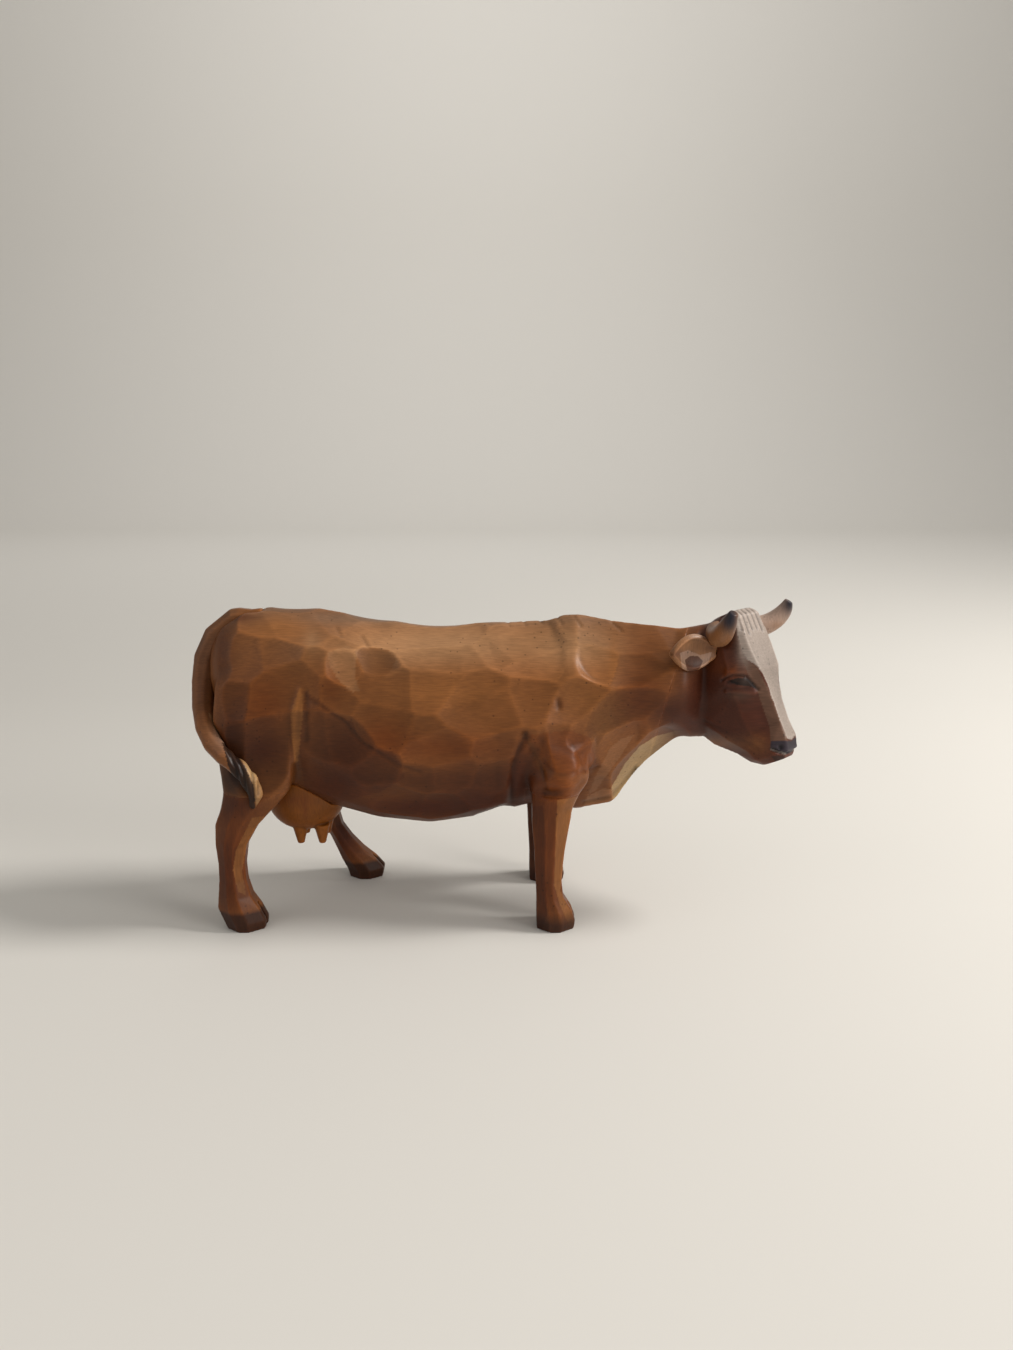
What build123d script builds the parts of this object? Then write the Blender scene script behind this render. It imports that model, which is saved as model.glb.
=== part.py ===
from build123d import *
import math
import os

# Standing cow carved in wood, glued up from blocks and finished with gouge cuts.
# X runs from the rump towards the head, Y to the cow's left and Z up, with the soles on Z = 0.
# Everything is laid out from the back of the rump and moved to the middle of its own box at the end.

# Driving sizes of the whole figure, in millimetres
trunk_length = 160.0
back_height = 97.0
barrel_width = 53.0
neck_sway = 2.2
hoof_spread = 38.0
hoof_length = 14.5
leg_width = 13.0
seat_height = 44.0
hind_right_hoof_x = 13.5
hind_left_hoof_x = 46.0
front_right_hoof_x = 111.0
front_left_hoof_x = 109.6

# Head block
head_length = 48.8
head_depth = 30.0
head_width = 24.0
poll_x = 169.8
poll_y = -4.0
poll_rise = 3.3
head_turn_deg = 42.0
head_droop_deg = 64.0

# Glue face between neck and head
neck_seat_x = 148.5
neck_seat_drop = 22.0
neck_seat_lean_deg = 14.5
neck_seat_turn_deg = 12.0
neck_end_top_back = 10.0
neck_end_top_down = 1.5
neck_end_foot_back = 24.0
neck_end_foot_down = 36.0
neck_end_width = 20.0
neck_end_round_share = 0.5

# Horns and ears
horn_root_radius = 3.5
ear_length = 16.5
ear_width = 11.5
ear_thickness = 4.6
ear_wall = 1.1
ear_hollow_share = 0.35
ear_edge = 0.3
ear_plump_share = 0.5
ear_open_down_share = 0.45

# Tail and udder
tail_radius = 4.2
tail_sides = 9
tail_turn_share = 0.3
udder_length = 26.5
udder_width = 21.0
udder_drop = 17.0
udder_x = 29.8
teat_x = 31.9
teat_radius = 2.7
teat_tip_radius = 1.1
teat_length = 6.4
teat_spread_x = 7.0
teat_spread_y = 9.0
teat_show_share = 0.75

# Dowels and spigots that hold the blocks together
leg_dowel_radius = 2.5
leg_dowel_depth = 9.0
hind_dowel_share = 0.32
middle_dowel_share = 0.5
neck_dowel_radius = 2.5
neck_dowel_depth = 8.0
neck_dowel_spacing = 15.0
peg_radius = 1.5
peg_depth = 5.0
tail_peg_x = 2.0
tail_peg_drop = 9.0
tail_peg_length = 10.0
horn_spigot_radius = 1.8
ear_spigot_radius = 1.1
ear_spigot_reach = 3.8
spigot_depth = 5.0
dowel_chamfer = 0.4
glue_clearance = 0.08
overrun = 5.0

# Gouge cuts
gouge_radius = 60.0
gouge_depth = 1.1
hip_gouge_radius = 17.0
hip_gouge_depth = 1.5
gouge_swing_share = 0.12
gouge_swing_pace = 2.4
back_cut_aside = 6.6
back_cut_slope = 1.6

# Small carving
hoof_cleft_width = 1.4
hoof_cleft_depth = 4.2
hoof_cleft_height = 8.0
eye_radius = 2.2
eye_socket_radius = 3.4
eye_socket_depth = 1.2
eye_sink_share = 0.62
nostril_radius = 1.1
lip_groove_radius = 0.5

UP = Vector(0, 0, 1)
FIRST_SIDE = Vector(0, 1, 0)
POLE_SIDE = Vector(1, 0.1, 0.1)

# Weights of the two nearest and the two next corners in a smooth middle corner
near_weight = 9 / 16
far_weight = 1 / 16

# Trunk and neck: along, top, floor, half width, height of the widest point, roof width, keel width
trunk_station_shares = [
    (0.015, 0.920, 0.700, 0.260, 0.50, 0.66, 0.60),
    (0.040, 0.978, 0.600, 0.480, 0.50, 0.66, 0.62),
    (0.085, 1.020, 0.500, 0.620, 0.52, 0.70, 0.62),
    (0.155, 1.026, 0.420, 0.740, 0.54, 0.74, 0.60),
    (0.245, 1.018, 0.362, 0.850, 0.52, 0.74, 0.62),
    (0.340, 0.990, 0.320, 0.960, 0.46, 0.64, 0.66),
    (0.445, 0.970, 0.302, 1.000, 0.44, 0.60, 0.66),
    (0.555, 0.972, 0.326, 0.950, 0.46, 0.56, 0.62),
    (0.650, 0.990, 0.362, 0.860, 0.50, 0.50, 0.52),
    (0.740, 1.002, 0.330, 0.760, 0.58, 0.48, 0.28),
    (0.815, 0.979, 0.355, 0.620, 0.60, 0.48, 0.24),
    (0.880, 0.968, 0.490, 0.510, 0.58, 0.50, 0.34),
    (0.940, 0.956, 0.585, 0.455, 0.54, 0.54, 0.44),
]
roof_drop_share = 0.12
keel_rise_share = 0.10
neck_start_share = 0.74

# Limbs: height, rear, front, width, distance from the midline; rear and front count from the hoof's middle
hind_right_shares = [
    (0.000, -0.40, 0.41, 0.86, 1.00),
    (0.060, -0.47, 0.43, 0.92, 1.00),
    (0.160, -0.59, 0.29, 0.88, 1.00),
    (0.245, -0.57, 0.13, 0.78, 1.00),
    (0.360, -0.545, 0.04, 0.64, 0.99),
    (0.480, -0.545, 0.02, 0.62, 0.98),
    (0.620, -0.58, 0.08, 0.70, 0.97),
    (0.770, -0.56, 0.34, 0.82, 0.96),
    (0.880, -0.44, 0.66, 0.94, 0.94),
    (1.000, -0.37, 1.00, 1.10, 0.90),
]
hind_right_thigh_shares = [
    (1.120, -0.42, 1.12, 1.22, 0.84),
    (1.300, -0.50, 1.15, 1.42, 0.74),
    (1.500, -0.58, 1.18, 1.52, 0.66),
    (1.750, -0.52, 1.20, 1.46, 0.56),
    (2.000, -0.05, 0.95, 0.96, 0.38),
]
hind_left_shares = [
    (0.000, -0.40, 0.38, 0.80, 1.15),
    (0.070, -0.46, 0.42, 0.86, 1.15),
    (0.150, -0.58, 0.22, 0.84, 1.14),
    (0.230, -0.68, -0.06, 0.76, 1.13),
    (0.340, -0.82, -0.34, 0.64, 1.10),
    (0.450, -0.98, -0.55, 0.62, 1.07),
    (0.600, -1.24, -0.66, 0.70, 1.04),
    (0.700, -1.38, -0.64, 0.78, 1.01),
    (0.850, -1.42, -0.54, 0.90, 0.97),
    (1.000, -1.52, -0.38, 1.10, 0.90),
]
hind_left_thigh_shares = [
    (1.120, -1.75, -0.40, 1.22, 0.84),
    (1.300, -2.15, -0.50, 1.42, 0.74),
    (1.500, -2.55, -0.72, 1.52, 0.66),
    (1.750, -2.72, -0.95, 1.46, 0.56),
    (2.000, -2.30, -1.30, 0.96, 0.38),
]
front_shares = [
    (0.000, -0.41, 0.39, 0.86, 1.00),
    (0.060, -0.42, 0.42, 0.92, 1.00),
    (0.140, -0.42, 0.34, 0.88, 1.00),
    (0.235, -0.42, 0.16, 0.76, 1.00),
    (0.360, -0.44, 0.12, 0.62, 0.99),
    (0.480, -0.46, 0.15, 0.66, 0.98),
    (0.580, -0.47, 0.18, 0.72, 0.97),
    (0.760, -0.52, 0.27, 0.84, 0.94),
    (0.890, -0.53, 0.34, 0.96, 0.91),
    (1.000, -0.53, 0.50, 1.10, 0.87),
]
front_shoulder_shares = [
    (1.070, -0.55, 0.66, 1.26, 0.85),
    (1.230, -0.56, 0.82, 1.42, 0.80),
    (1.430, -0.55, 0.76, 1.40, 0.73),
    (1.640, -0.36, 0.48, 1.02, 0.58),
]
front_cut_share = 0.36
rear_cut_share = 0.34
side_cut_share = 0.28

# Head: down the face, then depth and half width of the face, brow, cheek, jaw and throat edges
head_station_shares = [
    (0.014, 0.040, 0.350, 0.087, 0.450, 0.183, 0.500, 0.283, 0.450, 0.350, 0.300),
    (0.062, -0.010, 0.525, 0.033, 0.617, 0.183, 0.700, 0.350, 0.650, 0.450, 0.417),
    (0.164, -0.010, 0.550, 0.047, 0.708, 0.217, 0.817, 0.500, 0.750, 0.617, 0.450),
    (0.277, -0.010, 0.558, 0.070, 0.767, 0.217, 0.917, 0.617, 0.833, 0.767, 0.500),
    (0.420, -0.020, 0.475, 0.093, 0.800, 0.217, 1.000, 0.700, 0.900, 0.900, 0.533),
    (0.523, 0.010, 0.330, 0.113, 0.600, 0.267, 0.920, 0.750, 0.900, 0.967, 0.517),
    (0.645, 0.030, 0.235, 0.150, 0.480, 0.300, 0.800, 0.717, 0.833, 0.990, 0.467),
    (0.779, 0.037, 0.225, 0.155, 0.440, 0.300, 0.680, 0.583, 0.700, 0.840, 0.400),
    (0.881, 0.033, 0.267, 0.143, 0.542, 0.283, 0.617, 0.433, 0.600, 0.617, 0.383),
    (0.955, 0.067, 0.267, 0.153, 0.500, 0.267, 0.567, 0.383, 0.550, 0.510, 0.350),
    (1.000, 0.147, 0.217, 0.193, 0.367, 0.267, 0.433, 0.333, 0.400, 0.400, 0.250),
]

# Places on one side of the head as shares of half its width, its depth and its length
eye_place_shares = (0.955, 0.165, 0.460)
nostril_place_shares = (0.420, 0.090, 0.925)
lip_path_shares = [(0.620, 0.190, 0.905), (0.300, 0.075, 0.985)]
ear_root_shares = (0.800, 0.330, 0.215)
ear_tip_shares = (2.180, 0.520, 0.150)
horn_path_shares = [
    (0.640, 0.270, 0.105),
    (1.040, 0.160, 0.143),
    (1.360, 0.000, 0.129),
    (1.450, -0.180, 0.053),
]
horn_thickness_shares = [1.00, 0.98, 0.84, 0.38]
ear_profile_shares = [(0.00, 0.42), (0.25, 0.80), (0.55, 1.00), (0.80, 0.72), (1.00, 0.14)]

# Tail: along, aside, up (shares of trunk length, half barrel width and back height), thickness
tail_shares = [
    (0.118, 0.00, 0.995, 0.80),
    (0.062, 0.00, 0.980, 0.95),
    (0.022, -0.01, 0.925, 1.00),
    (0.002, -0.04, 0.855, 0.98),
    (-0.003, -0.12, 0.778, 0.92),
    (0.002, -0.31, 0.705, 0.84),
    (0.016, -0.55, 0.655, 0.76),
    (0.038, -0.75, 0.617, 0.72),
    (0.064, -0.87, 0.588, 0.70),
    (0.092, -0.91, 0.560, 0.70),
    (0.114, -0.93, 0.518, 0.72),
    (0.121, -0.93, 0.474, 0.62),
    (0.114, -0.92, 0.430, 0.20),
]

# Udder: height above its foot, length, width
udder_shares = [
    (0.00, 0.42, 0.50),
    (0.22, 0.80, 0.84),
    (0.50, 0.97, 1.00),
    (1.00, 1.00, 1.04),
]

# Gouge cuts on each flank: share of the trunk length and of the back height
flank_cut_shares = [
    (0.135, 0.885), (0.110, 0.745), (0.100, 0.610),
    (0.445, 0.905), (0.530, 0.905), (0.620, 0.910),
    (0.340, 0.765), (0.420, 0.770), (0.505, 0.775), (0.590, 0.770),
    (0.315, 0.625), (0.395, 0.628), (0.475, 0.622), (0.550, 0.620),
    (0.375, 0.475), (0.455, 0.465), (0.535, 0.470),
    (0.690, 0.870), (0.760, 0.850), (0.680, 0.735),
]
hip_cut_shares = [(0.289, 0.861), (0.354, 0.861)]
back_cut_shares = [0.17, 0.32, 0.47, 0.62]


def row_size(shares, limb_x, side):
    """Rear x, front x, middle y, half width and height of one limb section."""
    height, rear, front, width, out = shares
    middle_y = side * out * hoof_spread / 2
    return (
        limb_x + rear * hoof_length,
        limb_x + front * hoof_length,
        middle_y,
        width * leg_width / 2,
        height * seat_height,
    )


def limb_ring(shares, limb_x, side):
    """Eight corners of a limb section, level, with its front and rear corners cut away."""
    rear, front, middle, half, height = row_size(shares, limb_x, side)
    depth = front - rear
    front_cut, rear_cut = front_cut_share * depth, rear_cut_share * depth
    side_cut = 2 * side_cut_share * half
    corners = [
        (front, middle - half + side_cut),
        (front, middle + half - side_cut),
        (front - front_cut, middle + half),
        (rear + rear_cut, middle + half),
        (rear, middle + half - side_cut),
        (rear, middle - half + side_cut),
        (rear + rear_cut, middle - half),
        (front - front_cut, middle - half),
    ]
    return [Vector(x, y, height) for x, y in corners]


def knife_cut(rings):
    """Solid with flat cuts between rings of corners, split so that every cut stands proud."""
    faces = [Face(Wire.make_polygon(rings[0])), Face(Wire.make_polygon(rings[-1]))]
    for lower, upper in zip(rings, rings[1:]):
        middle = sum(lower + upper, Vector(0, 0, 0)) * (1 / (2 * len(lower)))
        for number in range(len(lower)):
            after = (number + 1) % len(lower)
            a, b, c, d = lower[number], lower[after], upper[after], upper[number]
            if ((a + c) * 0.5 - middle).length > ((b + d) * 0.5 - middle).length:
                cuts = [(a, b, c), (a, c, d)]
            else:
                cuts = [(a, b, d), (b, c, d)]
            faces += [Face(Wire.make_polygon(cut)) for cut in cuts]
    return Solid(Shell(faces))


def lower_limb(rows, limb_x, side):
    """The leg block from its sole up to the glue face, in flat knife cuts."""
    return knife_cut([limb_ring(row, limb_x, side) for row in rows])


def upper_limb(leg_rows, thigh_rows, limb_x, side):
    """Thigh or shoulder in knife cuts: runs on from the leg's top section into the trunk."""
    return knife_cut([limb_ring(row, limb_x, side) for row in [leg_rows[-1], *thigh_rows]])


def with_middles(rim):
    """Corners of a closed rim with one more between each two, on the smooth curve through them."""
    corners = []
    for number, here in enumerate(rim):
        before, after, beyond = rim[number - 1], rim[(number + 1) % len(rim)], rim[(number + 2) % len(rim)]
        corners += [here, (here + after) * near_weight - (before + beyond) * far_weight]
    return corners


def section_rim(top, floor, half_width, widest, roof, keel):
    """Eight points round a trunk or neck section as (aside, up) pairs."""
    height = top - floor
    shoulder, hip = top - roof_drop_share * height, floor + keel_rise_share * height
    waist = floor + widest * height
    near = [(0, top), (-roof * half_width, shoulder), (-half_width, waist), (-keel * half_width, hip)]
    far = [(0, floor), (keel * half_width, hip), (half_width, waist), (roof * half_width, shoulder)]
    return near + far


def trunk_ring(shares):
    """Corners round the trunk or neck, square to its length."""
    along, top, floor, half, widest, roof, keel = shares
    x = along * trunk_length
    neck = max(0, (along - neck_start_share) / (1 - neck_start_share))
    middle = -neck_sway * neck
    rim = section_rim(top * back_height, floor * back_height, half * barrel_width / 2, widest, roof, keel)
    return with_middles([Vector(x, middle + y, z) for y, z in rim])


def face_frame():
    """Plane at the poll: X to the head's left, Y back from the face, Z up along the face."""
    turn, droop = math.radians(head_turn_deg), math.radians(head_droop_deg)
    left = Vector(math.sin(turn), math.cos(turn), 0)
    ahead = Vector(math.cos(turn), -math.sin(turn), 0)
    down_face = ahead * math.cos(droop) - UP * math.sin(droop)
    return Plane(origin=(poll_x, poll_y, back_height + poll_rise), x_dir=left, z_dir=-down_face)


def face_point(left, back, down):
    """A point of the head, from the poll: millimetres left, back from the face and down the face."""
    return face_frame().from_local_coords(Vector(left, back, -down))


def head_place(shares, side):
    """A place on the head from shares of half its width, its depth and its length."""
    out, back, down = shares
    return face_point(side * out * head_width / 2, back * head_depth, down * head_length)


def neck_end_ring():
    """Corners of the last section of the neck, inside the head and leaning as the head does."""
    round_shares = [neck_end_round_share] * 3
    rim = section_rim(-neck_end_top_down, -neck_end_foot_down, neck_end_width / 2, *round_shares)
    lean = (neck_end_foot_back - neck_end_top_back) / (neck_end_foot_down - neck_end_top_down)
    places = [(aside, neck_end_top_back - (up + neck_end_top_down) * lean, -up) for aside, up in rim]
    return with_middles([face_point(*place) for place in places])


def head_ring(shares):
    """Ten corners of a section across the head."""
    along, *edges = shares
    pairs = list(zip(edges[0::2], edges[1::2]))
    ring = [(width, back) for back, width in pairs] + [(-width, back) for back, width in reversed(pairs)]
    return [head_place((width, back, along), 1) for width, back in ring]


def neck_seat():
    """Glue face between neck and head: X to the left, Y up the face, Z into the head."""
    lean, turn = math.radians(neck_seat_lean_deg), math.radians(neck_seat_turn_deg)
    level = Vector(math.cos(turn), -math.sin(turn), 0)
    normal = level * math.cos(lean) - UP * math.sin(lean)
    return Plane(origin=(neck_seat_x, 0, back_height - neck_seat_drop), x_dir=UP.cross(level), z_dir=normal)


def surface_at(solid, start, direction):
    """First point that a ray meets on a solid, with the outward normal there."""
    hits = solid.find_intersection_points(Axis(start, direction))
    ahead = [hit for hit in hits if (hit[0] - Vector(*start)).dot(Vector(*direction)) > 0]
    if not ahead:
        return None
    point, normal = min(ahead, key=lambda hit: (hit[0] - Vector(*start)).length)
    if normal.dot(Vector(*direction)) > 0:
        normal = normal * -1
    return point, normal


def ball(centre, seam_way, radius):
    """Sphere with its seam turned one way and its poles to the sides."""
    return Plane(origin=centre, x_dir=seam_way, z_dir=seam_way.cross(POLE_SIDE)) * Sphere(radius)


def gouge_cut(body, start, direction, radius, depth):
    """Ball that takes a hollow cut of one depth where a ray meets the wood."""
    point, normal = surface_at(body, start, direction)
    return ball(point + normal * (radius - depth), normal, radius)


def carve(body, cut):
    """The body with one hollow cut, where the cut leaves it sound and in one piece."""
    carved = body - cut
    sound = carved.is_valid and len(carved.solids()) == 1 and carved.volume < body.volume
    return carved if sound else body


def flank_cuts(body, side):
    """Hollow cuts all over one flank, with the two deep cuts before the hip."""
    look = (0, -side, 0)
    cuts = []
    for number, (along, height) in enumerate(flank_cut_shares):
        start = (along * trunk_length, side * barrel_width, height * back_height)
        swing = gouge_swing_share * math.sin(gouge_swing_pace * number + side)
        cuts.append(gouge_cut(body, start, look, gouge_radius * (1 + swing), gouge_depth))
    for along, height in hip_cut_shares:
        start = (along * trunk_length, side * barrel_width, height * back_height)
        cuts.append(gouge_cut(body, start, look, hip_gouge_radius, hip_gouge_depth))
    return cuts


def back_cuts(body):
    """Cuts along both slopes of the back."""
    cuts = []
    for along in back_cut_shares:
        for side in (-1, 1):
            look = Vector(0, -side, -back_cut_slope).normalized()
            aim = Vector(along * trunk_length, side * back_cut_aside, back_height)
            start = tuple(aim - look * barrel_width)
            cuts.append(gouge_cut(body, start, tuple(look), gouge_radius, gouge_depth))
    return cuts


def path_planes(points):
    """Planes square to a path at each of its points, carried along without a twist."""
    planes = []
    side = FIRST_SIDE
    for index, point in enumerate(points):
        before, after = points[max(index - 1, 0)], points[min(index + 1, len(points) - 1)]
        along = (after - before).normalized()
        side = (side - along * side.dot(along)).normalized()
        planes.append(Plane(origin=point, x_dir=side, z_dir=along))
    return planes


def rope(points, radii):
    """A tapered round limb along a curve."""
    return loft([plane * Circle(radius) for plane, radius in zip(path_planes(points), radii)])


def tail_rings(growth=0.0):
    """Corners of the knife-cut tail, down the rump and round the right thigh."""
    points = [
        Vector(along * trunk_length, aside * barrel_width / 2, up * back_height)
        for along, aside, up, thick in tail_shares
    ]
    rings = []
    for plane, row in zip(path_planes(points), tail_shares):
        radius = tail_radius * row[3] + growth
        turns = [math.tau * (number + tail_turn_share) / tail_sides for number in range(tail_sides)]
        corners = [Vector(radius * math.cos(turn), radius * math.sin(turn), 0) for turn in turns]
        rings.append([plane.from_local_coords(corner) for corner in corners])
    return rings


def pin(start, end, radius, growth=0.0):
    """Round pin between two points; growth makes the bore that takes it."""
    way = (end - start).normalized()
    length = (end - start).length + 2 * growth
    return Plane(origin=start - way * growth, z_dir=way) * Cylinder(
        radius + growth, length, align=(Align.CENTER, Align.CENTER, Align.MIN)
    )


def dowel(start, end, radius):
    """Pin with chamfered ends."""
    peg = pin(start, end, radius)
    return chamfer(peg.edges().filter_by(GeomType.CIRCLE), dowel_chamfer)


def build_horn(side):
    """Horn and the two ends of its spigot."""
    points = [head_place(row, side) for row in horn_path_shares]
    horn = rope(points, [horn_root_radius * share for share in horn_thickness_shares])
    way = (points[1] - points[0]).normalized()
    ends = (points[0] + way * horn_root_radius, points[0] - way * spigot_depth)
    return horn, ends


def ear_frame(side):
    """Plane at the ear's root: Z out along the ear, Y out of its hollow."""
    root, tip = head_place(ear_root_shares, side), head_place(ear_tip_shares, side)
    along = (tip - root).normalized()
    open_way = face_point(0, -1, ear_open_down_share) - face_point(0, 0, 0)
    across = open_way.cross(along)
    return Plane(origin=root, x_dir=across, z_dir=along)


def ear_leaf(side, growth, forward):
    """Leaf-shaped solid along the ear; forward shifts it out of the hollow side."""
    frame = ear_frame(side)
    rings = []
    for along, wide in ear_profile_shares:
        plump = 1 - ear_plump_share + ear_plump_share * wide
        half_width = max(wide * ear_width / 2 + growth, ear_edge)
        half_thick = max(plump * ear_thickness / 2 + growth, ear_edge)
        rings.append(frame * Pos(0, forward, along * ear_length) * Ellipse(half_width, half_thick))
    return loft(rings)


def build_ear(side):
    """Hollowed ear and the two ends of its spigot."""
    ear = ear_leaf(side, 0, 0) - ear_leaf(side, -ear_wall, ear_thickness * ear_hollow_share)
    root, tip = head_place(ear_root_shares, side), head_place(ear_tip_shares, side)
    way = (tip - root).normalized()
    middle = root - ear_frame(side).y_dir * (ear_wall / 2)
    ends = (middle + way * ear_spigot_reach, middle - way * spigot_depth)
    return largest(ear), ends


def build_udder():
    """Udder with four teats, before it is coped to the belly."""
    foot = seat_height - udder_drop
    rings = []
    for height, length, width in udder_shares:
        ring = Ellipse(length * udder_length / 2, width * udder_width / 2)
        rings.append(Pos(udder_x, 0, foot + height * udder_drop) * ring)
    udder = loft(rings)
    teat = Cone(teat_tip_radius, teat_radius, teat_length, align=(Align.CENTER, Align.CENTER, Align.MIN))
    for x_side in (-1, 1):
        for y_side in (-1, 1):
            x, y = teat_x + x_side * teat_spread_x / 2, y_side * teat_spread_y / 2
            udder += Pos(x, y, foot - teat_length * teat_show_share) * teat
    return udder


def cleave_hoof(leg, limb_x, side, rows):
    """Cut the cleft of the hoof up from the toe."""
    toe = limb_x + max(row[2] for row in rows[:2]) * hoof_length
    middle = side * rows[0][4] * hoof_spread / 2
    length = hoof_cleft_depth + overrun
    cleft = Box(length, hoof_cleft_width, hoof_cleft_height + overrun, align=(Align.MIN, Align.CENTER, Align.MAX))
    return leg - Pos(toe - hoof_cleft_depth, middle, hoof_cleft_height) * cleft


def leg_dowel_ends(rows, limb_x, side, share):
    """Ends of the upright dowel between a leg and the trunk."""
    rear, front, middle, half, height = row_size(rows[-1], limb_x, side)
    x = rear + share * (front - rear)
    return Vector(x, middle, height - leg_dowel_depth), Vector(x, middle, height + leg_dowel_depth)


def carve_face(head):
    """Eye sockets with their eyes, nostrils and the groove of the lips."""
    for side in (-1, 1):
        outward = face_point(side, 0, 0) - face_point(0, 0, 0)
        start = head_place(eye_place_shares, side) + outward * head_width
        point, normal = surface_at(head, tuple(start), tuple(outward * -1))
        head -= ball(point + normal * (eye_socket_radius - eye_socket_depth), normal, eye_socket_radius)
        head += ball(point - normal * eye_radius * eye_sink_share, normal * -1, eye_radius)
        head -= ball(head_place(nostril_place_shares, side), outward, nostril_radius)
        lips = [head_place(row, side) for row in lip_path_shares]
        head -= pin(lips[0], lips[1], lip_groove_radius)
    across = [head_place(lip_path_shares[1], side) for side in (-1, 1)]
    return head - pin(across[0], across[1], lip_groove_radius)


def largest(shape):
    return max(shape.solids(), key=lambda solid: solid.volume)


def main():
    body = knife_cut([*[trunk_ring(row) for row in trunk_station_shares], neck_end_ring()])
    limbs = {
        "hind_right_leg": (hind_right_shares, hind_right_thigh_shares, hind_right_hoof_x, -1, hind_dowel_share),
        "hind_left_leg": (hind_left_shares, hind_left_thigh_shares, hind_left_hoof_x, 1, middle_dowel_share),
        "front_right_leg": (front_shares, front_shoulder_shares, front_right_hoof_x, -1, middle_dowel_share),
        "front_left_leg": (front_shares, front_shoulder_shares, front_left_hoof_x, 1, middle_dowel_share),
    }
    for leg_rows, thigh_rows, limb_x, side, share in limbs.values():
        body += upper_limb(leg_rows, thigh_rows, limb_x, side)

    seat = neck_seat()
    reach = trunk_length * 2
    ahead_of_seat = seat * Box(reach, reach, reach, align=(Align.CENTER, Align.CENTER, Align.MIN))
    trunk = largest(body - ahead_of_seat)
    head = largest(knife_cut([head_ring(row) for row in head_station_shares]) + (body & ahead_of_seat))
    head = carve_face(head)

    parts = {}
    dowels = []
    for name, (leg_rows, thigh_rows, limb_x, side, share) in limbs.items():
        leg = lower_limb(leg_rows, limb_x, side)
        trunk -= leg
        ends = leg_dowel_ends(leg_rows, limb_x, side, share)
        bore = pin(*ends, leg_dowel_radius, glue_clearance)
        trunk -= bore
        parts[name] = cleave_hoof(leg, limb_x, side, leg_rows) - bore
        dowels.append(dowel(*ends, leg_dowel_radius))
    parts["leg_dowels"] = Compound(children=dowels)

    dowels = []
    for side in (-1, 1):
        up = side * neck_dowel_spacing / 2
        ends = [seat.from_local_coords(Vector(0, up, way * neck_dowel_depth)) for way in (-1, 1)]
        bore = pin(*ends, neck_dowel_radius, glue_clearance)
        trunk -= bore
        head -= bore
        dowels.append(dowel(*ends, neck_dowel_radius))
    parts["neck_dowels"] = Compound(children=dowels)

    for side, word in ((-1, "right"), (1, "left")):
        horn, horn_ends = build_horn(side)
        ear, ear_ends = build_ear(side)
        ear = largest(ear - horn - head)
        horn = largest(horn - head)
        head -= pin(*horn_ends, horn_spigot_radius, glue_clearance)
        head -= pin(*ear_ends, ear_spigot_radius, glue_clearance)
        parts[f"horn_{word}"] = horn + pin(*horn_ends, horn_spigot_radius)
        parts[f"ear_{word}"] = ear + pin(*ear_ends, ear_spigot_radius)

    tail = knife_cut(tail_rings())
    groove = tail_rings(glue_clearance)
    for upper, lower in zip(groove, groove[1:]):
        trunk -= knife_cut([upper, lower])
        parts["hind_right_leg"] -= knife_cut([upper, lower])
    peg_z = back_height - tail_peg_drop
    ends = (Vector(tail_peg_x, 0, peg_z), Vector(tail_peg_x + tail_peg_length, 0, peg_z))
    trunk -= pin(*ends, peg_radius, glue_clearance)
    tail -= pin(*ends, peg_radius, glue_clearance)
    parts["tail_peg"] = dowel(*ends, peg_radius)
    parts["tail"] = largest(tail)

    udder = build_udder() - trunk
    for name in limbs:
        udder -= parts[name]
    udder = largest(udder)
    belly, _ = surface_at(trunk, (udder_x, 0, 0), (0, 0, 1))
    ends = (belly - UP * peg_depth, belly + UP * peg_depth)
    bore = pin(*ends, peg_radius, glue_clearance)
    parts["udder"] = largest(udder - bore)
    parts["udder_peg"] = dowel(*ends, peg_radius)
    trunk -= bore
    for cut in back_cuts(body) + flank_cuts(body, -1) + flank_cuts(body, 1):
        trunk = carve(trunk, cut)
    parts["trunk"] = trunk
    parts["head"] = largest(head)

    whole = Compound(children=[Compound(children=part.solids()) for part in parts.values()]).bounding_box()
    home = Pos(-whole.center().X, -whole.center().Y, -whole.min.Z)
    os.makedirs("parts", exist_ok=True)
    for name, part in parts.items():
        export_step(home * part, f"parts/{name}.step")


main()
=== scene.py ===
import bpy
import math
import numpy as np
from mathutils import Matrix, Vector
from mathutils.bvhtree import BVHTree


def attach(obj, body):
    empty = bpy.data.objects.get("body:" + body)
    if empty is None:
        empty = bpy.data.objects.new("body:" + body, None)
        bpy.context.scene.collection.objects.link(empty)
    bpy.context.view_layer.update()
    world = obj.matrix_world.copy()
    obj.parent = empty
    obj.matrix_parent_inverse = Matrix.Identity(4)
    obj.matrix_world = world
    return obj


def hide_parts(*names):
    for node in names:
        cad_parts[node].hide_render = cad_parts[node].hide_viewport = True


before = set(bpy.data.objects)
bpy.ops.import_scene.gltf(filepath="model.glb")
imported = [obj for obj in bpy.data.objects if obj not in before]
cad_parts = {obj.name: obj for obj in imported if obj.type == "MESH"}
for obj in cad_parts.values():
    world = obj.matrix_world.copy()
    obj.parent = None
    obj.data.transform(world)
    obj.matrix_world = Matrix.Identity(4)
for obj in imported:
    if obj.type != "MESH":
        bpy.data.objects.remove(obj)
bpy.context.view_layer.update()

# Lengths are in millimetres, unless a comment says otherwise
MM = 0.001

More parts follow.
